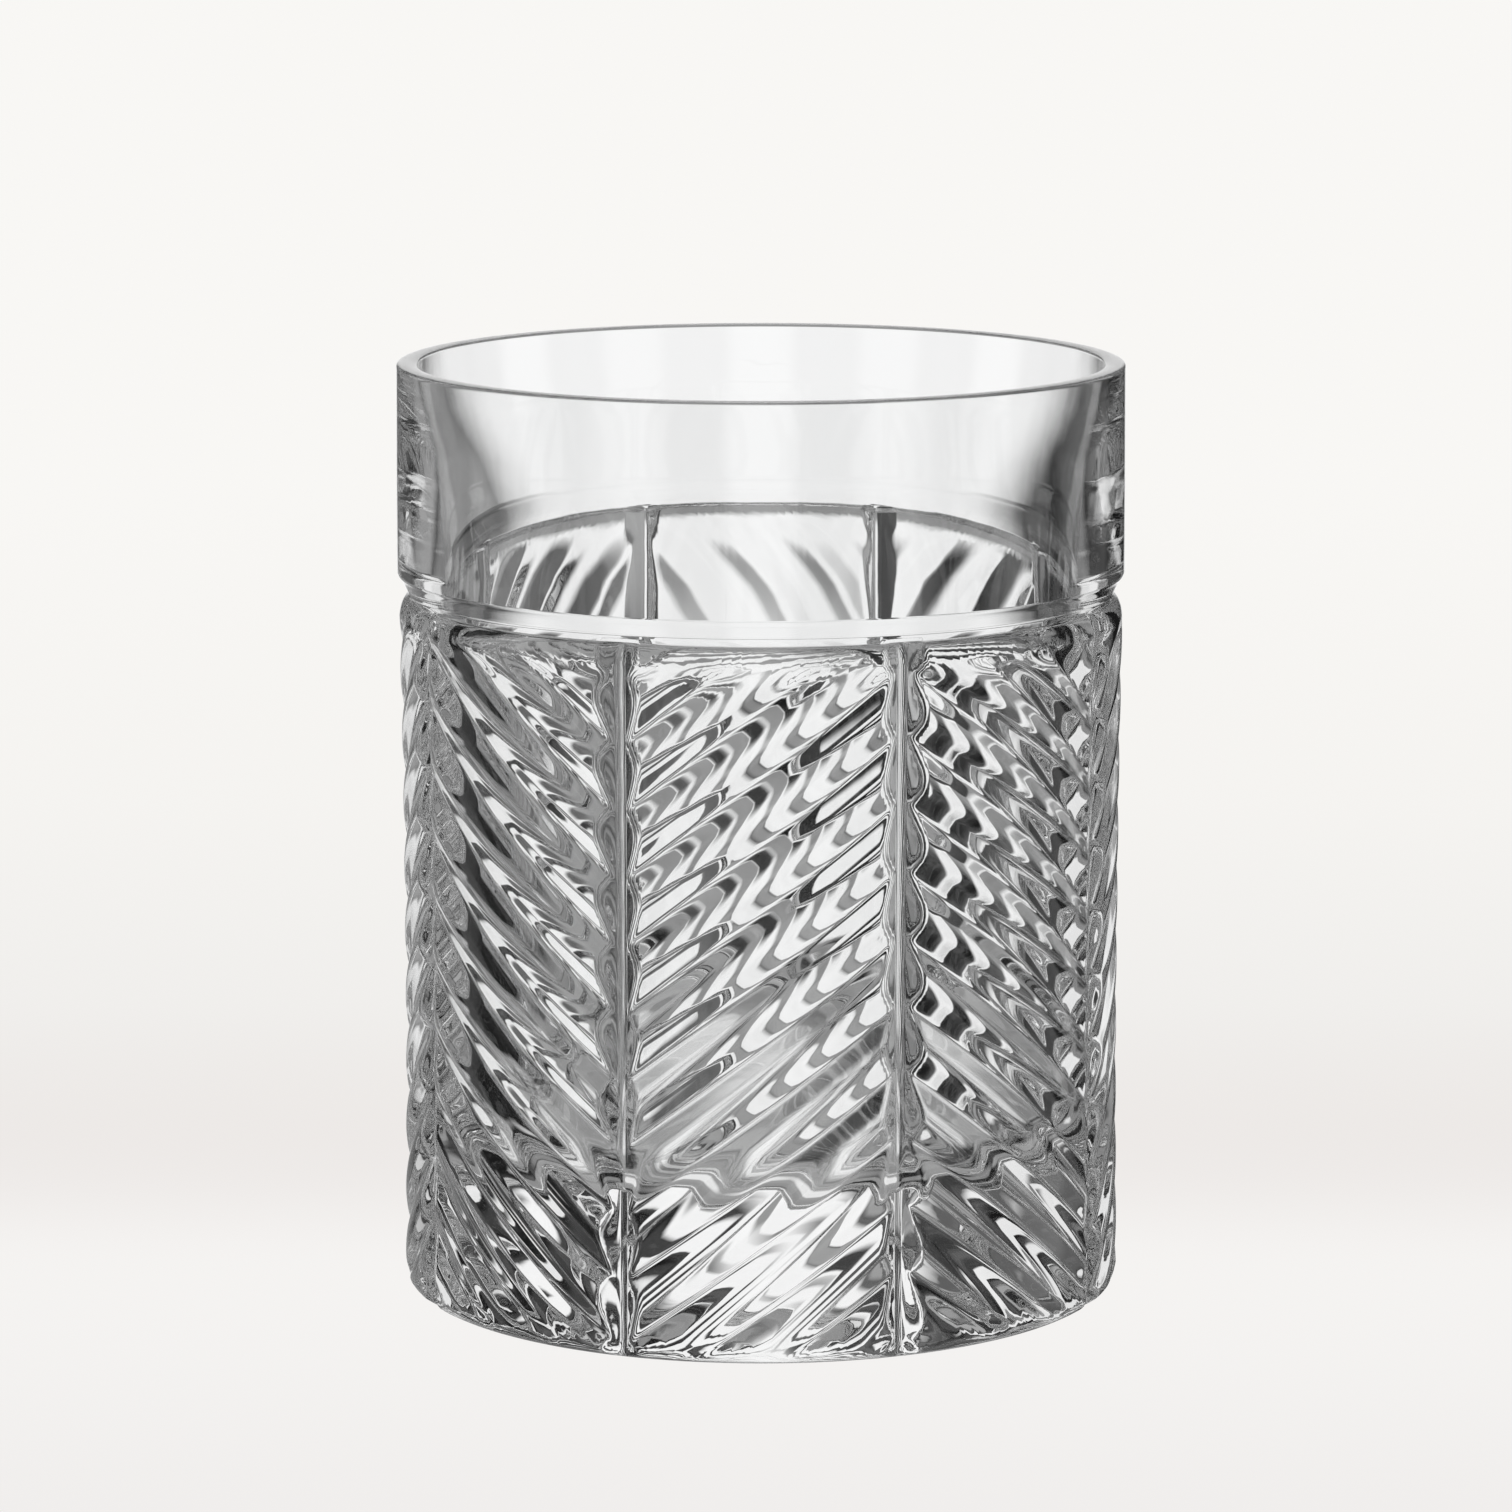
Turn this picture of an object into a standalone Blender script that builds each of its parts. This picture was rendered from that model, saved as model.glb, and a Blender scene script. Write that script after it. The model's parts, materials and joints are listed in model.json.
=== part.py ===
"""Whiskey tumbler: a single piece of clear pressed glass.

A plain band runs round the mouth. Below it a turned groove, then a drum of eight upright panels
that meet in mitre cuts. Each panel carries slanting ribs with straight flanks, a soft crest and a
tight valley, and the slant changes side from panel to panel, so that the ribs make a herringbone
round the glass. The cup is a hollow with steep walls that flare a little behind the band, over a
thick solid base with a slightly hollowed underside.
"""
import math

import bmesh
import bpy

MM = 0.001

# Driving dimensions. The origin is the centre of the foot, +Z is up, and -Y is the front.
HEIGHT = 103.4 * MM
BODY_RADIUS = 40.05 * MM
BODY_WAIST = 0.3 * MM            # how far the drum draws in at mid height
DRUM_TOP = 77.5 * MM             # floor of the shoulder, where the turned groove starts
SHOULDER_ROUND = 2.7 * MM
FOOT_ROUND = 2.0 * MM

PANEL_COUNT = 8
RIB_PITCH = 7.25 * MM            # upright distance from one valley to the next
RIB_DEPTH = 0.85 * MM
RIB_SLOPE = 0.755                # rise of a rib over its run along the girth
RIB_PHASE = 70.82 * MM           # height of one valley at the middle of a panel
RIB_ROWS = (0.0, 0.4, 0.6)        # where the rows of points lie within one pitch, from its valley
RIB_VALLEY_ROUND = 0.12          # parts of a rib's flank that curve into the valley and the crest
RIB_CREST_ROUND = 0.3
RIB_TOP = 75.6 * MM
RIB_RUNOUT = 3.0 * MM            # height over which a valley rises to nothing under the shoulder
MITRE_DEPTH = 1.45 * MM
MITRE_HALF_WIDTH = 2.5 * MM
PANEL_STEPS = 4                  # straight steps along a rib between the two mitre flanks

BAND_RADIUS = 40.15 * MM         # at the lower edge of the plain band
RIM_RADIUS = 40.0 * MM
RIM_ROUND = 1.1 * MM
BAND_BOTTOM = 80.2 * MM
BAND_EDGE_ROUND = 0.5 * MM
GROOVE_RADIUS = 38.95 * MM
GROOVE_TOP = 78.1 * MM
BAND_SEAT = 0.2 * MM             # how far the solid that carries the band sinks into the drum

CUP_BREAK_RADIUS = 35.05 * MM    # where the steep wall meets the flared one
CUP_BREAK_HEIGHT = 78.4 * MM
CUP_DRAFT = 0.018                # widening over height below the break
CUP_FLARE = 0.12                 # and above it
LIP_RADIUS = 37.7 * MM
CUP_FLOOR = 16.5 * MM
CUP_CORNER = 6.0 * MM
UNDERSIDE_RADIUS = 30.0 * MM
UNDERSIDE_DEPTH = 0.8 * MM

TURN_STEPS = 48
ARC_STEPS = 4
OVERCUT = 3.0 * MM               # how far a cutter reaches past the glass


def clear_scene():
    for old in list(bpy.data.objects):
        bpy.data.objects.remove(old, do_unlink=True)


def make_collection(name):
    collection = bpy.data.collections.new(name)
    bpy.context.scene.collection.children.link(collection)
    return collection


def clear_glass():
    material = bpy.data.materials.new("clear_glass")
    material.use_nodes = True
    shader = material.node_tree.nodes["Principled BSDF"]
    shader.inputs["Base Color"].default_value = (0.97, 0.98, 0.98, 1.0)
    shader.inputs["Metallic"].default_value = 0.0
    shader.inputs["Roughness"].default_value = 0.02
    shader.inputs["IOR"].default_value = 1.52
    shader.inputs["Transmission Weight"].default_value = 1.0
    return material


def drum_radius(height):
    """Outside radius of the drum before it is ribbed, with its rounded foot and shoulder."""
    radius = BODY_RADIUS - BODY_WAIST * math.sin(math.pi * height / DRUM_TOP)
    if height < FOOT_ROUND:
        radius -= FOOT_ROUND - math.sqrt(max(0.0, height * (2 * FOOT_ROUND - height)))
    below_top = DRUM_TOP - height
    if below_top < SHOULDER_ROUND:
        drop = SHOULDER_ROUND - math.sqrt(max(0.0, below_top * (2 * SHOULDER_ROUND - below_top)))
        radius -= drop * (BODY_RADIUS - GROOVE_RADIUS + BAND_SEAT) / SHOULDER_ROUND
    return radius


def flank(part):
    """Height of a rib's flank, from 0 in the valley to 1 on the crest, with both its ends rounded."""
    rise = 1 - (RIB_VALLEY_ROUND + RIB_CREST_ROUND) / 2
    if part < RIB_VALLEY_ROUND:
        return part ** 2 / (2 * RIB_VALLEY_ROUND) / rise
    if part > 1 - RIB_CREST_ROUND:
        return 1 - (1 - part) ** 2 / (2 * RIB_CREST_ROUND) / rise
    return (part - RIB_VALLEY_ROUND / 2) / rise


def rib_cut(along, height, hand):
    """How deep the valley beside a rib is, at a place on a panel."""
    turns = (height - RIB_PHASE - hand * RIB_SLOPE * along) / RIB_PITCH
    from_valley = 2 * abs(turns - round(turns))
    runout = min(1.0, max(0.0, (RIB_TOP - height) / RIB_RUNOUT))
    return RIB_DEPTH * (1 - flank(from_valley)) * (1 - (1 - runout) ** 2)


def mitre_cut(along):
    """How deep the mitre cut at the panel's edge is, at a distance along the girth."""
    from_edge = math.pi * BODY_RADIUS / PANEL_COUNT - abs(along)
    return MITRE_DEPTH * max(0.0, 1 - from_edge / MITRE_HALF_WIDTH)


def panel_columns():
    """Places along the girth: the mitre, the two edges of its flank, and steps between."""
    half_width = math.pi * BODY_RADIUS / PANEL_COUNT
    flank_inner = MITRE_HALF_WIDTH * (1 - RIB_DEPTH / MITRE_DEPTH)
    ribbed = half_width - MITRE_HALF_WIDTH
    middle = [ribbed * (2 * step / PANEL_STEPS - 1) for step in range(PANEL_STEPS + 1)]
    edge = [-half_width, flank_inner - half_width]
    return edge + middle + [-place for place in reversed(edge)]


def level_cuts():
    """Heights where a row of points goes round, so that the foot and shoulder come out round."""
    foot = [FOOT_ROUND * part for part in (0.2, 1.0)]
    shoulder = [DRUM_TOP - SHOULDER_ROUND * part for part in (0.25, 1.0)]
    return foot + shoulder


def cut_level(sheet, height, clear_side=0):
    """Cuts a flat sheet along one height. A side of 1 drops what is above it, -1 what is below."""
    bmesh.ops.bisect_plane(
        sheet,
        geom=sheet.verts[:] + sheet.edges[:] + sheet.faces[:],
        dist=MM / 100,
        plane_co=(0, height, 0),
        plane_no=(0, clear_side or 1, 0),
        clear_outer=clear_side != 0,
    )


def flat_panel(hand):
    """A flat sheet of one panel, girth along X and height along Y, with rows along its ribs."""
    columns = panel_columns()
    reach = RIB_SLOPE * columns[-1] + RIB_PITCH
    first = math.floor((-reach - RIB_PHASE) / RIB_PITCH)
    last = math.ceil((DRUM_TOP + reach - RIB_PHASE) / RIB_PITCH)
    rows = [RIB_PHASE + (turn + part) * RIB_PITCH for turn in range(first, last) for part in RIB_ROWS]

    sheet = bmesh.new()
    grid = [[sheet.verts.new((x, row + hand * RIB_SLOPE * x, 0)) for x in columns] for row in rows]
    for lower, upper in zip(grid, grid[1:]):
        for step in range(len(columns) - 1):
            sheet.faces.new((lower[step], lower[step + 1], upper[step + 1], upper[step]))
    cut_level(sheet, DRUM_TOP, 1)
    cut_level(sheet, 0.0, -1)
    for height in level_cuts():
        cut_level(sheet, height)
    return sheet


def wrapped_point(flat, middle_angle, hand):
    """The place on the drum of a point of a flat panel."""
    height = min(DRUM_TOP, max(0.0, flat.y))
    body = BODY_RADIUS - BODY_WAIST * math.sin(math.pi * height / DRUM_TOP)
    cut = max(rib_cut(flat.x, height, hand), mitre_cut(flat.x))
    radius = min(drum_radius(height), body - cut)
    angle = middle_angle + flat.x / BODY_RADIUS
    return (radius * math.sin(angle), -radius * math.cos(angle), height)


def ribbed_drum():
    """The solid drum: eight wrapped panels, closed by a flat face at the foot and at the top."""
    drum = bmesh.new()
    for panel in range(PANEL_COUNT):
        hand = 1 if panel % 2 == 0 else -1
        middle_angle = 2 * math.pi * panel / PANEL_COUNT
        sheet = flat_panel(hand)
        copies = {}
        for vert in sheet.verts:
            copies[vert] = drum.verts.new(wrapped_point(vert.co, middle_angle, hand))
        for face in sheet.faces:
            drum.faces.new([copies[vert] for vert in face.verts])
        sheet.free()
    bmesh.ops.remove_doubles(drum, verts=drum.verts[:], dist=MM / 50)
    bmesh.ops.holes_fill(drum, edges=[edge for edge in drum.edges if edge.is_boundary], sides=0)
    bmesh.ops.recalc_face_normals(drum, faces=drum.faces[:])
    mesh = bpy.data.meshes.new("ribbed_drum")
    drum.to_mesh(mesh)
    drum.free()
    return mesh


def arc(centre, radius, start, end, steps=ARC_STEPS):
    """Points of an arc in a profile, from one angle to another, in degrees from straight out."""
    points = []
    for step in range(steps + 1):
        angle = math.radians(start + (end - start) * step / steps)
        points.append((centre[0] + radius * math.cos(angle), centre[1] + radius * math.sin(angle)))
    return points


def band_profile():
    """Outside of the band, from the axis at the rim down to inside the drum."""
    rim = arc((RIM_RADIUS - RIM_ROUND, HEIGHT - RIM_ROUND), RIM_ROUND, 90, 0)
    centre = (BAND_RADIUS - BAND_EDGE_ROUND, BAND_BOTTOM + BAND_EDGE_ROUND)
    edge = arc(centre, BAND_EDGE_ROUND, 0, -60, 2)
    core = [(GROOVE_RADIUS, GROOVE_TOP), (GROOVE_RADIUS, DRUM_TOP - BAND_SEAT)]
    inside = [(GROOVE_RADIUS - OVERCUT, DRUM_TOP - OVERCUT), (0, DRUM_TOP - OVERCUT)]
    return [(0, HEIGHT)] + rim + edge + core + inside


def cup_radius(height):
    """Radius of the cup's wall, which is steep below the break and flares above it."""
    above_break = height - CUP_BREAK_HEIGHT
    slope = CUP_FLARE if above_break > 0 else CUP_DRAFT
    return min(LIP_RADIUS, CUP_BREAK_RADIUS + slope * above_break)


def cup_profile():
    """The hollow of the cup, from above the mouth down its wall to the floor."""
    lip_round = RIM_RADIUS - LIP_RADIUS - RIM_ROUND
    lip_centre = (LIP_RADIUS + lip_round, HEIGHT - lip_round)
    lip = arc(lip_centre, lip_round, 90, 180)
    flare_top = CUP_BREAK_HEIGHT + (LIP_RADIUS - CUP_BREAK_RADIUS) / CUP_FLARE
    corner_top = CUP_FLOOR + CUP_CORNER
    middle = (CUP_BREAK_HEIGHT + corner_top) / 2
    heights = [flare_top, (flare_top + CUP_BREAK_HEIGHT) / 2, CUP_BREAK_HEIGHT, middle]
    wall = [(cup_radius(height), height) for height in heights]
    corner = arc((cup_radius(corner_top) - CUP_CORNER, corner_top), CUP_CORNER, 0, -90, 6)
    above = [(0, HEIGHT + OVERCUT), (lip[0][0], HEIGHT + OVERCUT)]
    return above + lip + wall + corner + [(0, CUP_FLOOR)]


def underside_profile():
    """The shallow dome hollowed out of the underside."""
    dome_radius = (UNDERSIDE_RADIUS ** 2 + UNDERSIDE_DEPTH ** 2) / (2 * UNDERSIDE_DEPTH)
    half_angle = math.degrees(math.asin(UNDERSIDE_RADIUS / dome_radius))
    dome = arc((0, UNDERSIDE_DEPTH - dome_radius), dome_radius, 90, 90 - half_angle)
    return dome + [(UNDERSIDE_RADIUS, -OVERCUT), (0, -OVERCUT)]


def turned(name, profile, collection):
    """A turned solid that only shapes the glass: a profile at +X, run down its outer side."""
    mesh = bpy.data.meshes.new(name)
    edges = [(step, step + 1) for step in range(len(profile) - 1)]
    mesh.from_pydata([(radius, 0, height) for radius, height in profile], edges, [])
    guide = bpy.data.objects.new(name, mesh)
    collection.objects.link(guide)
    guide.hide_render = True
    guide.display_type = "WIRE"
    screw = guide.modifiers.new("turn", "SCREW")
    screw.axis = "Z"
    screw.angle = 2 * math.pi
    screw.steps = TURN_STEPS
    screw.render_steps = TURN_STEPS
    screw.use_merge_vertices = True
    screw.merge_threshold = 0.00001
    return guide


def add_boolean(target, name, operation, other):
    boolean = target.modifiers.new(name, "BOOLEAN")
    boolean.operation = operation
    boolean.solver = "EXACT"
    boolean.object = other


def build():
    clear_scene()
    parts = make_collection("whiskey_tumbler")
    cutters = make_collection("cutters")

    mesh = ribbed_drum()
    mesh.materials.append(clear_glass())
    mesh.shade_smooth()
    mesh.set_sharp_from_angle(angle=math.radians(20))
    glass = bpy.data.objects.new("glass_body", mesh)
    parts.objects.link(glass)

    add_boolean(glass, "band", "UNION", turned("band_solid", band_profile(), cutters))
    add_boolean(glass, "cup", "DIFFERENCE", turned("cup_cutter", cup_profile(), cutters))
    add_boolean(glass, "underside", "DIFFERENCE", turned("underside_cutter", underside_profile(), cutters))


build()
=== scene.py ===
"""A pressed-glass whiskey tumbler in a pale studio.

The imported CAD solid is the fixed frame. One fine glass mesh stands for it: eight panels of slanting
ribs that meet in mitre cuts, a turned groove, band and rim, and a tapering cup over a solid base.
The mesh code works in millimetres, and the finished mesh is scaled to metres.
"""
import json
import math

import bmesh
import bpy
import numpy as np
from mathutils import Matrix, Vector, noise


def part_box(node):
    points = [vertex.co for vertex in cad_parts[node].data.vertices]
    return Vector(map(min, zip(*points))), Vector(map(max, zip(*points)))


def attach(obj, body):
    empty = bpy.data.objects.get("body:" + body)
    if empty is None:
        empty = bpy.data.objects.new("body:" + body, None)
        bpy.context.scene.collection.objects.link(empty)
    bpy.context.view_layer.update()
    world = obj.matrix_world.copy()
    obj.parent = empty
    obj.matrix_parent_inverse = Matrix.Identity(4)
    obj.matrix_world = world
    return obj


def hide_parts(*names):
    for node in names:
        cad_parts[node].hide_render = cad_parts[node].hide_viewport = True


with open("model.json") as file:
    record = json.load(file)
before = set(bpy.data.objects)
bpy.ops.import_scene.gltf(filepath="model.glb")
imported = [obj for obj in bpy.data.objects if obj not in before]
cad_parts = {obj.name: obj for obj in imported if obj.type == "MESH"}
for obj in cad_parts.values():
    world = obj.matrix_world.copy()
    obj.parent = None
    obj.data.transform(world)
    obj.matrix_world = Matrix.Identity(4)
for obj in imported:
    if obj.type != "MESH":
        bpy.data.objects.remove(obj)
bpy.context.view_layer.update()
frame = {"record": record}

MM = 0.001
DEGREE = math.pi / 180

# Sizes that the frame gives
BOX_LOW, BOX_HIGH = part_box("glass_body")
HEIGHT = (BOX_HIGH.z - BOX_LOW.z) / MM
BAND_RADIUS = (BOX_HIGH.x - BOX_LOW.x) / 2 / MM
mounts = {mount["name"]: mount for mount in frame["record"]["mounts"]}
CUP_FLOOR = mounts["cup_floor"]["pos_m"][2] / MM

# The drum
BODY_RADIUS = BAND_RADIUS - 0.1
BODY_WAIST = 0.3                 # how far the drum draws in at mid height
DRUM_TOP = 77.5
DRUM_FOOT = 0.05                 # the panels start just above the standing ring
SHOULDER_ROUND = 2.7
FOOT_ROUND = 2.0
PANEL_COUNT = 8
PANEL_HALF_WIDTH = math.pi * BODY_RADIUS / PANEL_COUNT
RIB_PITCH = 7.25                 # upright distance from one valley to the next
RIB_DEPTH = 0.85
RIB_SLOPE = 0.755                # rise of a rib over its run along the girth
RIB_PHASE = 70.82                # height of one valley at the middle of a panel
RIB_VALLEY_ROUND = 0.12          # parts of a rib's flank that curve into the valley and the crest
RIB_CREST_ROUND = 0.3
RIB_TOP, RIB_TOP_RUNOUT = 75.6, 3.0             # where the ribs end, and the height that they fade over
RIB_BOTTOM, RIB_BOTTOM_RUNOUT = 0.6, 2.4
MITRE_DEPTH = 1.45
MITRE_HALF_WIDTH = 2.5
MITRE_BOTTOM_ROUND = 0.22        # parts of the cut's flank that curve into its bottom and its edge
MITRE_CREST_ROUND = 0.12
MITRE_RUNOUT = 1.5               # height above the foot over which the cut reaches its depth
SOFT_MEETING = 0.25              # how softly ribs run into the mitre cuts

# The groove, band and rim
GROOVE_RADIUS = BAND_RADIUS - 1.2
GROOVE_BOTTOM = DRUM_TOP + 0.15
GROOVE_TOP = 78.1
BAND_BOTTOM = 80.2
BAND_CHAMFER = 1.0
BAND_EDGE = ((-0.06, -0.02), (0.0, 0.3))        # its soft lower edge, as steps out and up
BAND_WAIST = (0.07, 91.0)        # how far the band draws in, and the height where it does
RIM_RADIUS = BAND_RADIUS - 0.15
LIP_RADIUS = 37.7                # inside of the rim
RIM_ROUND = 0.35                 # height of the rounding over the rim
RIM_FULLNESS = 0.9               # 1 is an ellipse, and less is fuller
RIM_STRAIGHT = 0.2               # upright glass below the rounding, which keeps its shading off the walls

# The cup and the underside
WALL_BREAK = (35.05, 78.4)       # radius and height where the wall starts to open faster
WALL_DRAFT = 0.018               # how fast it opens upwards below the break
WALL_FLARE = 0.12                # and above it, where the wall thins towards the lip
WALL_SOFTNESS = 0.3
CUP_CORNER = 6.0
UNDERSIDE_RADIUS = 30.0
UNDERSIDE_DEPTH = 0.8
STANDING_RING = (UNDERSIDE_RADIUS + 1.0, BODY_RADIUS - FOOT_ROUND - 0.6)

# How fine the mesh is
ROW_PARTS = (0.0, 0.015, 0.045, 0.09, 0.145, 0.205, 0.27, 0.34, 0.42)       # from a valley, in pitches
MITRE_COLUMNS = (0.0, 0.14, 0.38, 0.7, 1.1, 1.5, 1.95, 2.4, 2.85, 3.35)     # from a panel's edge
INNER_COLUMNS = 25               # across the rest of the panel
ROUND_STEPS = 7                  # for the shoulder and for the foot
RIM_STEPS = 12
WALL_RINGS = 22
CORNER_STEPS = 12
FLOOR_RINGS = 8
UNDERSIDE_RINGS = 7
MIDDLE_RADIUS = 1.5              # the smallest ring of the floor and of the underside
MERGE_DISTANCE = 0.004           # joins the panels along the edges that they share

# The slight unevenness of glass that was pressed hot
WAVE_SIZE = 17.0
WAVE_DEPTH = 0.035
TRUE_ENDS = 3.0                  # height at the foot and at the rim that stays true
BOX_MARGIN = 0.02                # how far inside the frame's box the waves stay


def drum_radius(height):
    """Outside radius of the drum before it is ribbed, with its rounded foot and shoulder."""
    height = np.clip(height, 0.0, DRUM_TOP)
    radius = BODY_RADIUS - BODY_WAIST * np.sin(np.pi * height / DRUM_TOP)
    in_foot = np.minimum(height, FOOT_ROUND)
    radius -= FOOT_ROUND - np.sqrt(in_foot * (2 * FOOT_ROUND - in_foot))
    in_shoulder = np.minimum(DRUM_TOP - height, SHOULDER_ROUND)
    drop = SHOULDER_ROUND - np.sqrt(in_shoulder * (2 * SHOULDER_ROUND - in_shoulder))
    return radius - drop * (BODY_RADIUS - GROOVE_RADIUS) / SHOULDER_ROUND


def run_out(distance, reach):
    """Grows from 0 to 1 over a reach, and levels off smoothly."""
    part = np.clip(distance / reach, 0.0, 1.0)
    return 1 - (1 - part) ** 2


def flank(part, low_round, high_round):
    """Height of a straight flank, from 0 at its foot to 1 at its top, with both its ends rounded."""
    part = np.clip(part, 0.0, 1.0)
    rise = 1 - (low_round + high_round) / 2
    foot = part ** 2 / (2 * low_round)
    top = rise - (1 - part) ** 2 / (2 * high_round)
    height = np.where(part < low_round, foot, np.where(part > 1 - high_round, top, part - low_round / 2))
    return height / rise


def rib_cut(along, height, hand):
    """How deep the valleys beside the ribs are, at places on a panel."""
    turns = (height - RIB_PHASE - hand * RIB_SLOPE * along) / RIB_PITCH
    from_valley = 2 * np.abs(turns - np.round(turns))
    ends = run_out(RIB_TOP - height, RIB_TOP_RUNOUT) * run_out(height - RIB_BOTTOM, RIB_BOTTOM_RUNOUT)
    return RIB_DEPTH * (1 - flank(from_valley, RIB_VALLEY_ROUND, RIB_CREST_ROUND)) * ends


def mitre_cut(along, height):
    """How deep the mitre cut at a panel's edge is."""
    from_edge = PANEL_HALF_WIDTH - np.abs(along)
    rise = flank(from_edge / MITRE_HALF_WIDTH, MITRE_BOTTOM_ROUND, MITRE_CREST_ROUND)
    return MITRE_DEPTH * (1 - rise) * run_out(height, MITRE_RUNOUT)


def soft_maximum(first, second, softness):
    """The larger of two values, blended where they differ by little."""
    part = np.clip(0.5 + 0.5 * (first - second) / softness, 0.0, 1.0)
    return second + (first - second) * part + softness * part * (1 - part)


def cup_radius(height):
    """Radius of the cup's wall: a slight draft, and a cone above it that thins the wall to the lip."""
    radius, break_height = WALL_BREAK
    above = height - break_height
    wall = soft_maximum(WALL_DRAFT * above, WALL_FLARE * above, WALL_SOFTNESS)
    return min(radius + wall, LIP_RADIUS)


def panel_columns():
    """Places along the girth of one panel, closer together beside the mitre cuts."""
    beside = [PANEL_HALF_WIDTH - place for place in MITRE_COLUMNS]
    inner = np.linspace(-beside[-1], beside[-1], INNER_COLUMNS)
    return [-place for place in beside[:-1]] + inner.tolist() + beside[-2::-1]


def round_levels():
    """Heights where a row of points goes round, so that the shoulder and the foot come out round."""
    levels = []
    for step in range(1, ROUND_STEPS):
        part = 1 - math.cos(math.pi / 2 * step / ROUND_STEPS)
        levels += [DRUM_TOP - SHOULDER_ROUND * part, FOOT_ROUND * part]
    return [height for height in levels if height > 2 * DRUM_FOOT]


def cut_level(sheet, height, clear_side=0):
    """Cuts a flat sheet along one height. A side of 1 drops what is above it, -1 what is below."""
    bmesh.ops.bisect_plane(
        sheet,
        geom=sheet.verts[:] + sheet.edges[:] + sheet.faces[:],
        dist=1e-4,
        plane_co=(0, height, 0),
        plane_no=(0, clear_side or 1, 0),
        clear_outer=clear_side != 0,
    )


def flat_panel(hand):
    """A flat sheet of one panel, girth along X and height along Y, with rows along its ribs."""
    columns = panel_columns()
    reach = RIB_SLOPE * columns[-1] + RIB_PITCH
    first = math.floor((-reach - RIB_PHASE) / RIB_PITCH)
    last = math.ceil((DRUM_TOP + reach - RIB_PHASE) / RIB_PITCH)
    parts = list(ROW_PARTS) + [0.5] + [1 - part for part in ROW_PARTS[:0:-1]]
    rows = [RIB_PHASE + (turn + part) * RIB_PITCH for turn in range(first, last) for part in parts]

    sheet = bmesh.new()
    grid = [[sheet.verts.new((x, row + hand * RIB_SLOPE * x, 0)) for x in columns] for row in rows]
    for lower, upper in zip(grid, grid[1:]):
        for step in range(len(columns) - 1):
            sheet.faces.new((lower[step], lower[step + 1], upper[step + 1], upper[step]))
    cut_level(sheet, DRUM_TOP, 1)
    cut_level(sheet, DRUM_FOOT, -1)
    for height in round_levels():
        cut_level(sheet, height)
    return sheet


def column_angle(panel, along):
    """Where a place on a panel lies round the glass, from the middle of the front panel."""
    return 2 * math.pi * panel / PANEL_COUNT + along / BODY_RADIUS


def add_panel(glass, panel):
    """Wraps one ribbed panel round the drum."""
    hand = 1 if panel % 2 == 0 else -1
    sheet = flat_panel(hand)
    flat = np.array([vert.co[:2] for vert in sheet.verts])
    along, height = flat[:, 0], np.clip(flat[:, 1], DRUM_FOOT, DRUM_TOP)
    cut = soft_maximum(rib_cut(along, height, hand), mitre_cut(along, height), SOFT_MEETING)
    radius = drum_radius(height) - cut
    angle = column_angle(panel, along)
    places = np.stack([radius * np.sin(angle), -radius * np.cos(angle), height], axis=1)
    copies = {vert: glass.verts.new(place) for vert, place in zip(sheet.verts, places)}
    for face in sheet.faces:
        glass.faces.new([copies[vert] for vert in face.verts])
    sheet.free()


def girth_angle(vert):
    return math.atan2(vert.co.x, -vert.co.y) % (2 * math.pi)


def open_ring(glass, height):
    """The open edge of the drum at a height, in order round the glass."""
    ring = [vert for vert in glass.verts if vert.is_boundary and abs(vert.co.z - height) < 1e-3]
    return sorted(ring, key=girth_angle)


def turned_ring(glass, radius, height):
    """A level circle of points, one at each column of each panel."""
    ring = []
    for panel in range(PANEL_COUNT):
        for along in panel_columns()[:-1]:
            angle = column_angle(panel, along)
            ring.append(glass.verts.new((radius * math.sin(angle), -radius * math.cos(angle), height)))
    return sorted(ring, key=girth_angle)


def join_rings(glass, lower, upper):
    """Faces between two rings whose points need not match, in step with the angle."""
    def angles(ring):
        first_turn = [girth_angle(vert) for vert in ring]
        return first_turn + [first_turn[0] + 2 * math.pi, math.inf]

    low_angles, up_angles = angles(lower), angles(upper)
    low = up = 0
    while low < len(lower) or up < len(upper):
        low_next, up_next = low_angles[low + 1], up_angles[up + 1]
        corners = [lower[low % len(lower)]]
        if low_next < up_next + 1e-7:
            low += 1
            corners.append(lower[low % len(lower)])
        last = upper[up % len(upper)]
        if up_next < low_next + 1e-7:
            up += 1
            corners.append(upper[up % len(upper)])
        glass.faces.new(corners + [last])


def band_profile():
    """Outside of the groove and band, from the drum up to the rim's start."""
    rise = BAND_BOTTOM - GROOVE_TOP
    chamfer_parts = (0.0, 0.33, 0.66, 0.9)
    chamfer = [(GROOVE_RADIUS + BAND_CHAMFER * part, GROOVE_TOP + rise * part) for part in chamfer_parts]
    edge = [(BAND_RADIUS + out, BAND_BOTTOM + up) for out, up in BAND_EDGE]
    drawn_in, waist_height = BAND_WAIST
    return [(GROOVE_RADIUS, GROOVE_BOTTOM)] + chamfer + edge + [(BAND_RADIUS - drawn_in, waist_height)]


def rim_profile():
    """The rounded rim, from its outside over the top to the inside."""
    centre = (RIM_RADIUS + LIP_RADIUS) / 2
    half_width = (RIM_RADIUS - LIP_RADIUS) / 2
    start = HEIGHT - RIM_ROUND
    points = [(RIM_RADIUS, start - RIM_STRAIGHT)]
    for step in range(RIM_STEPS + 1):
        angle = math.pi * step / RIM_STEPS
        height = start + RIM_ROUND * math.sin(angle) ** RIM_FULLNESS
        points.append((centre + half_width * math.cos(angle), height))
    return points + [(LIP_RADIUS, start - RIM_STRAIGHT)]


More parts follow.
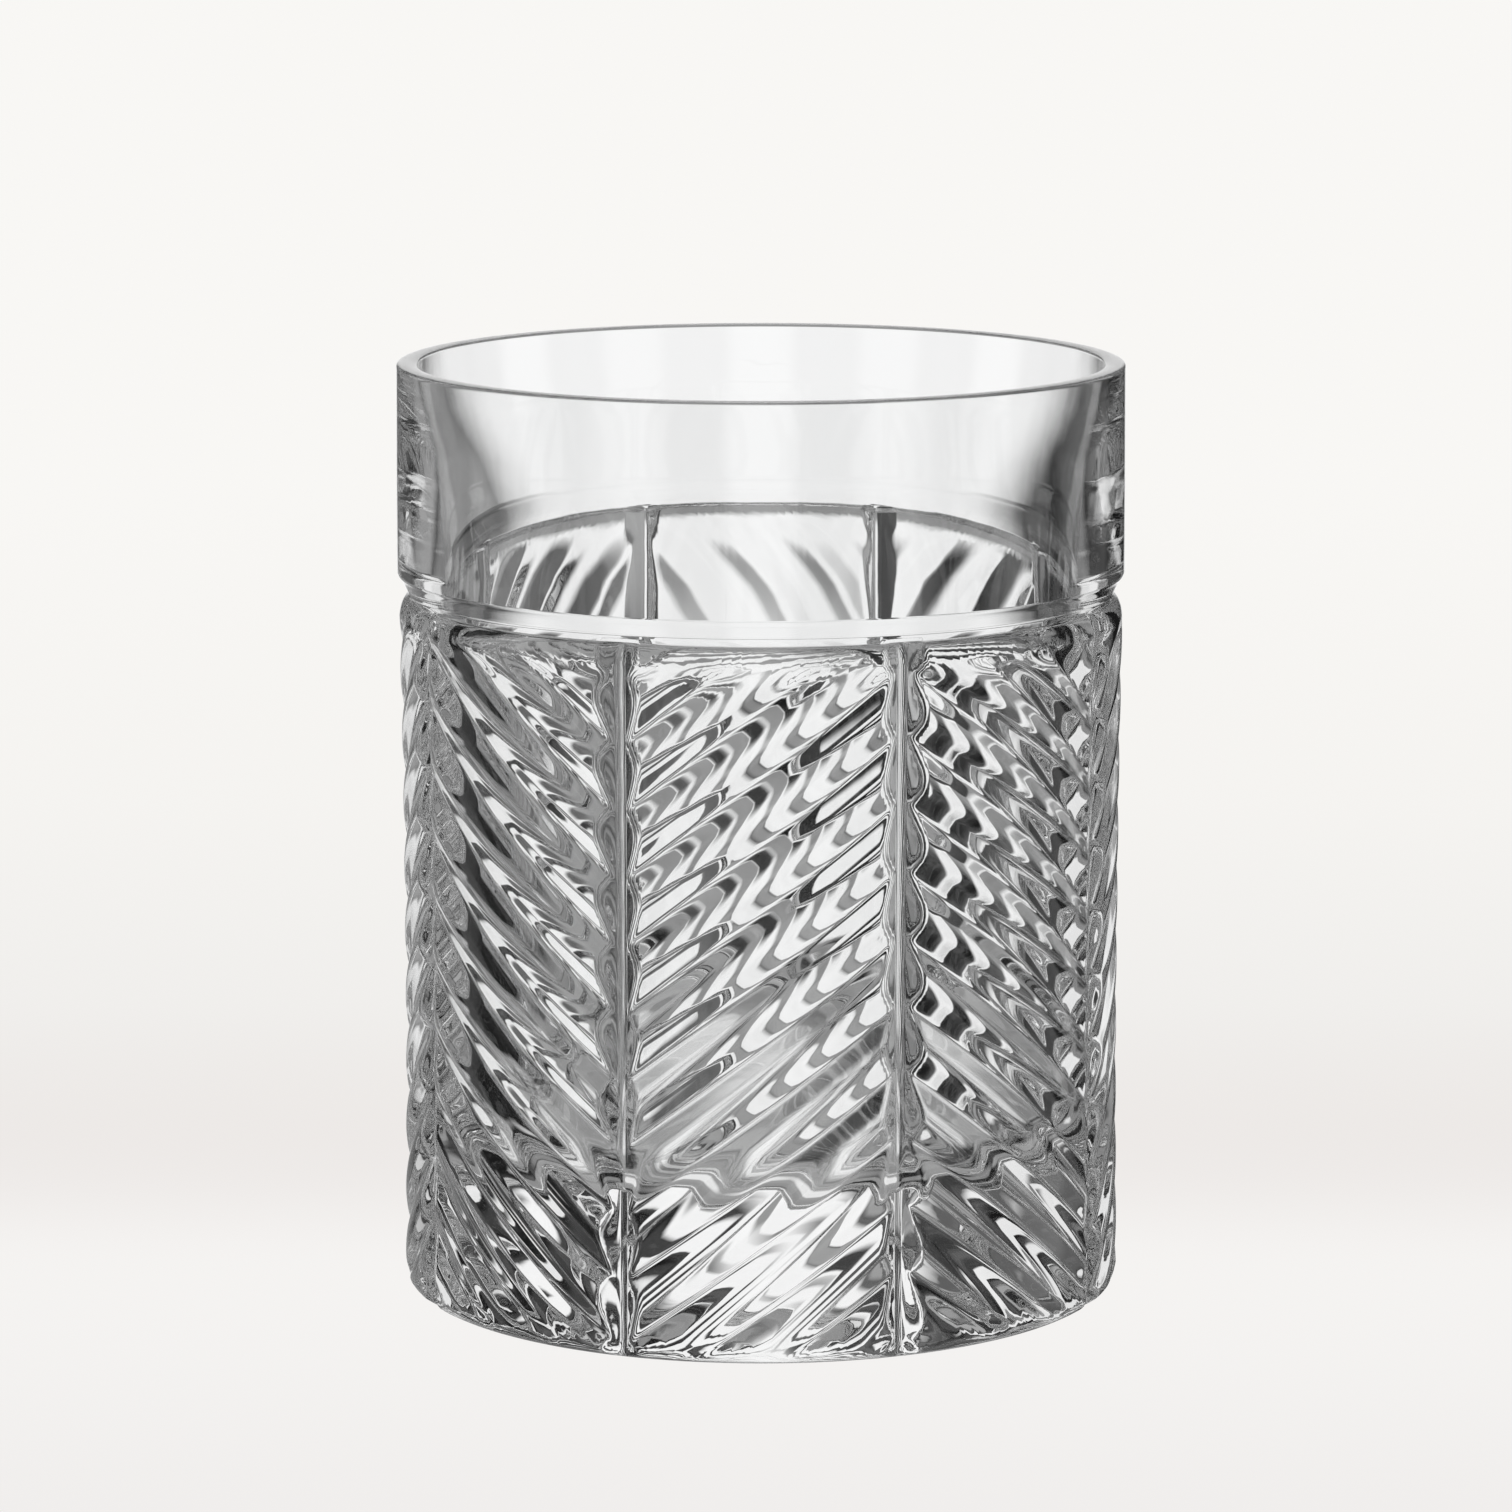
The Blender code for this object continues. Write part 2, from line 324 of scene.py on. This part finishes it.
def cup_profile():
    """The wall of the cup downwards, the round corner and the floor, up to its middle."""
    corner_top = CUP_FLOOR + CUP_CORNER
    heights = np.linspace(HEIGHT - RIM_ROUND, corner_top, WALL_RINGS)[1:]
    wall = [(cup_radius(height), height) for height in heights]
    centre = cup_radius(corner_top) - CUP_CORNER
    corner = []
    for step in range(1, CORNER_STEPS + 1):
        angle = math.pi / 2 * step / CORNER_STEPS
        corner.append((centre + CUP_CORNER * math.cos(angle), corner_top - CUP_CORNER * math.sin(angle)))
    floor = [(radius, CUP_FLOOR) for radius in np.linspace(centre, MIDDLE_RADIUS, FLOOR_RINGS)[1:]]
    return wall + corner + floor


def underside_profile():
    """The standing ring and the shallow hollow inside it, from the middle outwards."""
    hollow = []
    for radius in np.linspace(MIDDLE_RADIUS, UNDERSIDE_RADIUS, UNDERSIDE_RINGS):
        depth = UNDERSIDE_DEPTH * (1 - (radius / UNDERSIDE_RADIUS) ** 2)
        hollow.append((radius, depth))
    return hollow + [(radius, 0.0) for radius in STANDING_RING]


def fan(glass, ring, height, upward):
    """Closes a small ring with triangles to its middle."""
    middle = glass.verts.new((0, 0, height))
    for first, second in zip(ring, ring[1:] + ring[:1]):
        glass.faces.new((first, second, middle) if upward else (second, first, middle))


def make_uneven(glass):
    """Moves the points a few hundredths of a millimetre along slow waves, as in pressed glass."""
    for vert in glass.verts:
        radius = math.hypot(vert.co.x, vert.co.y)
        if radius < MIDDLE_RADIUS / 2 or vert.co.z < TRUE_ENDS or vert.co.z > HEIGHT - TRUE_ENDS:
            continue
        shift = min(WAVE_DEPTH * noise.noise(vert.co / WAVE_SIZE), BAND_RADIUS - BOX_MARGIN - radius)
        vert.co.x *= 1 + shift / radius
        vert.co.y *= 1 + shift / radius


def glass_mesh():
    """The whole glass as one closed mesh, in metres."""
    glass = bmesh.new()
    for panel in range(PANEL_COUNT):
        add_panel(glass, panel)
    bmesh.ops.remove_doubles(glass, verts=glass.verts[:], dist=MERGE_DISTANCE)

    ring = open_ring(glass, DRUM_TOP)
    foot = open_ring(glass, DRUM_FOOT)
    for radius, height in band_profile() + rim_profile() + cup_profile():
        following = turned_ring(glass, radius, height)
        join_rings(glass, ring, following)
        ring = following
    fan(glass, ring, CUP_FLOOR, upward=True)

    underside = underside_profile()
    ring = turned_ring(glass, *underside[0])
    fan(glass, ring, UNDERSIDE_DEPTH, upward=False)
    for radius, height in underside[1:]:
        following = turned_ring(glass, radius, height)
        join_rings(glass, ring, following)
        ring = following
    join_rings(glass, ring, foot)

    make_uneven(glass)
    bmesh.ops.scale(glass, vec=(MM, MM, MM), verts=glass.verts[:])
    mesh = bpy.data.meshes.new("tumbler")
    glass.to_mesh(mesh)
    glass.free()
    mesh.shade_smooth()
    return mesh


class Graph:
    """Adds nodes to one node tree and joins them up."""

    def __init__(self, tree):
        self.tree = tree
        tree.nodes.clear()

    def node(self, kind, **settings):
        made = self.tree.nodes.new(kind)
        for name, value in settings.items():
            setattr(made, name, value)
        return made

    def feed(self, socket, value):
        """Sets a socket to a number or colour, or links an output to it."""
        if isinstance(value, bpy.types.NodeSocket):
            self.tree.links.new(value, socket)
        else:
            socket.default_value = value

    def maths(self, operation, *values):
        made = self.node("ShaderNodeMath", operation=operation)
        for socket, value in zip(made.inputs, values):
            self.feed(socket, value)
        return made.outputs[0]

    def remap(self, value, start, end, low=0.0, high=1.0, kind="SMOOTHSTEP"):
        made = self.node("ShaderNodeMapRange", interpolation_type=kind)
        for socket, given in zip(made.inputs, (value, start, end, low, high)):
            self.feed(socket, given)
        return made.outputs[0]

    def brightest(self, values):
        total = values[0]
        for value in values[1:]:
            total = self.maths("MAXIMUM", total, value)
        return total


GLASS_IOR = 1.52
GLASS_TINTS = ((0.985, 0.99, 0.99, 1.0), (1.0, 1.0, 1.0, 1.0))
TINT_SCALE = 30.0
RIPPLE_SCALE = 260.0
RIPPLE_STRENGTH = 0.25
RIPPLE_HEIGHT = 0.02 * MM


def glass_material():
    """Clear, fire-polished soda-lime glass with faint waves and a trace of cloudiness."""
    material = bpy.data.materials.new("clear_glass_fire_polished")
    material.use_nodes = True
    graph = Graph(material.node_tree)
    output = graph.node("ShaderNodeOutputMaterial")
    shader = graph.node("ShaderNodeBsdfPrincipled")
    shader.inputs["IOR"].default_value = GLASS_IOR
    shader.inputs["Transmission Weight"].default_value = 1.0
    shader.inputs["Roughness"].default_value = 0.0
    graph.feed(output.inputs["Surface"], shader.outputs[0])
    place = graph.node("ShaderNodeTexCoord").outputs["Object"]

    tint = graph.node("ShaderNodeTexNoise")
    tint.inputs["Scale"].default_value = TINT_SCALE
    graph.feed(tint.inputs["Vector"], place)
    colour = graph.node("ShaderNodeMix", data_type="RGBA")
    graph.feed(colour.inputs[0], tint.outputs["Fac"])
    graph.feed(colour.inputs[6], GLASS_TINTS[0])
    graph.feed(colour.inputs[7], GLASS_TINTS[1])
    graph.feed(shader.inputs["Base Color"], colour.outputs[2])

    ripple = graph.node("ShaderNodeTexNoise")
    ripple.inputs["Scale"].default_value = RIPPLE_SCALE
    ripple.inputs["Detail"].default_value = 1.0
    graph.feed(ripple.inputs["Vector"], place)
    bump = graph.node("ShaderNodeBump")
    bump.inputs["Strength"].default_value = RIPPLE_STRENGTH
    bump.inputs["Distance"].default_value = RIPPLE_HEIGHT
    graph.feed(bump.inputs["Height"], ripple.outputs["Fac"])
    graph.feed(shader.inputs["Normal"], bump.outputs["Normal"])
    return material


# The light around the glass. Angles are in degrees, and an azimuth is counted from straight behind it.
# Where lights overlap, the brightest one counts.
LIGHTS = (
    # azimuth, half width, soft edge, elevation, half height, soft edge, light
    (0.0, 10.0, 7.0, 9.0, 30.0, 12.0, 0.97),        # the window behind
    (-16.0, 16.0, 9.0, -14.0, 24.0, 12.0, 0.12),    # the wall around it, lighter on the left
    (0.0, 24.0, 12.0, 25.0, 30.0, 12.0, 0.05),
    (-23.0, 13.0, 8.0, -22.0, 14.0, 10.0, 0.36),    # a fill low on the left
    (-41.0, 7.0, 3.0, 20.0, 22.0, 8.0, 0.9),        # narrow strips at both sides of the window
    (41.0, 7.0, 3.0, 20.0, 22.0, 8.0, 0.9),
    (-48.0, 9.0, 7.0, -16.0, 24.0, 12.0, 0.25),     # dim walls below the strips
    (48.0, 9.0, 7.0, -16.0, 24.0, 12.0, 0.25),
    (-12.0, 22.0, 10.0, -42.0, 26.0, 12.0, 0.3),    # the table behind, reaching higher on the left
    (20.0, 20.0, 14.0, -56.0, 18.0, 8.0, 0.3),
    (-90.0, 11.0, 7.0, -12.0, 26.0, 14.0, 0.75),    # panels at the sides
    (90.0, 11.0, 7.0, -12.0, 26.0, 14.0, 0.75),
    (-135.0, 11.0, 7.0, -12.0, 28.0, 14.0, 0.62),   # panels in front, and the wall between them
    (135.0, 11.0, 7.0, -12.0, 28.0, 14.0, 0.62),
    (180.0, 11.0, 7.0, -12.0, 28.0, 14.0, 0.75),
    (180.0, 95.0, 10.0, -5.0, 45.0, 14.0, 0.02),
)
OVERHEAD = (44.0, 64.0, 0.5)        # where it sets in above level, where it is full, and its light
TABLE = (48.0, 66.0, 0.34)          # the same, counted below level
TABLE_BELOW = (68.0, 80.0, 0.85)
SHADE = 0.01                        # everything else
BACKDROP_LIGHT = 0.9                # what is seen past the glass
LIGHT_BOUNCES = 24                  # light is reflected many times inside solid glass


def studio_world():
    """A window behind, strips and panels round the glass, soft light above and a lit table below.

    They light the glass only. Seen directly, the background is one pale tone.
    """
    world = bpy.data.worlds.new("studio")
    bpy.context.scene.world = world
    world.use_nodes = True
    graph = Graph(world.node_tree)
    direction = graph.node("ShaderNodeTexCoord").outputs["Generated"]
    parts = graph.node("ShaderNodeSeparateXYZ")
    graph.feed(parts.inputs[0], direction)
    azimuth = graph.maths("ARCTAN2", parts.outputs[0], parts.outputs[1])
    elevation = graph.maths("ARCSINE", parts.outputs[2])

    def near(value, centre, half_width, edge, light):
        offset = graph.maths("SUBTRACT", value, centre * DEGREE)
        distance = graph.maths("ABSOLUTE", graph.maths("WRAP", offset, math.pi, -math.pi))
        start, end = half_width - edge / 2, half_width + edge / 2
        return graph.remap(distance, start * DEGREE, end * DEGREE, light, 0.0)

    def beyond(value, start, end, light):
        return graph.remap(value, start * DEGREE, end * DEGREE, 0.0, light)

    downward = graph.maths("MULTIPLY", elevation, -1.0)
    lights = [beyond(elevation, *OVERHEAD), beyond(downward, *TABLE), beyond(downward, *TABLE_BELOW)]
    for across, half_width, side_edge, up, half_height, end_edge, light in LIGHTS:
        sideways = near(azimuth, across, half_width, side_edge, light)
        upright = near(elevation, up, half_height, end_edge, 1.0)
        lights.append(graph.maths("MULTIPLY", sideways, upright))
    seen_directly = graph.node("ShaderNodeLightPath").outputs["Is Camera Ray"]
    shown = graph.node("ShaderNodeMix", data_type="FLOAT")
    graph.feed(shown.inputs[0], seen_directly)
    graph.feed(shown.inputs[2], graph.brightest(lights + [SHADE]))
    graph.feed(shown.inputs[3], BACKDROP_LIGHT)
    background = graph.node("ShaderNodeBackground")
    graph.feed(background.inputs["Color"], shown.outputs[0])
    output = graph.node("ShaderNodeOutputWorld")
    graph.feed(output.inputs["Surface"], background.outputs[0])


FLOOR_HALF_SIZE = 3.0
FLOOR_GAP = 0.3 * MM
FLOOR_REACH = (-0.1, 0.7)           # from front to back, the floor's tone changes along this
# The floor's pale colour with painted shade: darker at the front, a darker band just behind the glass,
# lighter far back.
FLOOR_COLOUR_AND_PAINTED_SHADE = (
    (0.0, (0.855, 0.835, 0.825)),
    (0.13, (0.94, 0.93, 0.915)),
    (0.18, (0.845, 0.815, 0.8)),
    (0.235, (0.845, 0.815, 0.795)),
    (0.31, (0.872, 0.862, 0.846)),
    (0.5, (0.915, 0.9, 0.875)),
    (1.0, (0.945, 0.935, 0.915)),
)


def studio_floor():
    """A pale table top seen from above, glowing with painted light and shade, which lets the world's
    light through to the glass.
    """
    mesh = bpy.data.meshes.new("floor")
    half = FLOOR_HALF_SIZE
    corners = [(-half, -half), (half, -half), (half, half), (-half, half)]
    mesh.from_pydata([(x, y, -FLOOR_GAP) for x, y in corners], [], [(0, 1, 2, 3)])
    floor = bpy.data.objects.new("floor", mesh)
    bpy.context.scene.collection.objects.link(floor)
    material = bpy.data.materials.new("pale_floor_painted_glow")
    material.use_nodes = True
    graph = Graph(material.node_tree)
    output = graph.node("ShaderNodeOutputMaterial")
    place = graph.node("ShaderNodeSeparateXYZ")
    graph.feed(place.inputs[0], graph.node("ShaderNodeTexCoord").outputs["Object"])
    tone = graph.node("ShaderNodeValToRGB")
    tone.color_ramp.interpolation = "B_SPLINE"
    stops = tone.color_ramp.elements
    while len(stops) < len(FLOOR_COLOUR_AND_PAINTED_SHADE):
        stops.new(0.5)
    for stop, (where, colour) in zip(stops, FLOOR_COLOUR_AND_PAINTED_SHADE):
        stop.position = where
        stop.color = (*colour, 1.0)
    graph.feed(tone.inputs[0], graph.remap(place.outputs[1], *FLOOR_REACH, kind="LINEAR"))
    # Painted light: the floor is not lit, but glows with its colour and painted shade.
    pale = graph.node("ShaderNodeEmission")
    graph.feed(pale.inputs["Color"], tone.outputs[0])
    clear = graph.node("ShaderNodeBsdfTransparent")
    either = graph.node("ShaderNodeMixShader")
    from_above = graph.maths("SUBTRACT", 1.0, graph.node("ShaderNodeNewGeometry").outputs["Backfacing"])
    seen_directly = graph.node("ShaderNodeLightPath").outputs["Is Camera Ray"]
    graph.feed(either.inputs[0], graph.maths("MULTIPLY", seen_directly, from_above))
    graph.feed(either.inputs[1], clear.outputs[0])
    graph.feed(either.inputs[2], pale.outputs[0])
    graph.feed(output.inputs["Surface"], either.outputs[0])
    mesh.materials.append(material)


CAMERA_DISTANCE = 0.7081
CAMERA_ELEVATION = 10.44
CAMERA_AIM_HEIGHT = 0.052
CAMERA_LENS = 151.5
CAMERA_SHIFT = (-0.0033, 0.0424)


def add_camera():
    camera = bpy.data.cameras.new("camera")
    camera.sensor_width = 36.0
    camera.lens = CAMERA_LENS
    camera.shift_x, camera.shift_y = CAMERA_SHIFT
    stand = bpy.data.objects.new("camera", camera)
    bpy.context.scene.collection.objects.link(stand)
    tilt = CAMERA_ELEVATION * DEGREE
    offset = Vector((0, -math.cos(tilt), math.sin(tilt))) * CAMERA_DISTANCE
    stand.location = Vector((0, 0, CAMERA_AIM_HEIGHT)) + offset
    stand.rotation_euler = (math.pi / 2 - tilt, 0, 0)
    bpy.context.scene.camera = stand


def add_tumbler():
    tumbler = bpy.data.objects.new("tumbler", glass_mesh())
    tumbler.data.materials.append(glass_material())
    bpy.context.scene.collection.objects.link(tumbler)
    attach(tumbler, "root")
    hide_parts("glass_body")


def set_light_paths():
    scene = bpy.context.scene
    scene.view_settings.view_transform = "Standard"
    scene.cycles.max_bounces = LIGHT_BOUNCES
    scene.cycles.transmission_bounces = LIGHT_BOUNCES
    scene.cycles.glossy_bounces = LIGHT_BOUNCES


add_tumbler()
studio_world()
studio_floor()
add_camera()
set_light_paths()
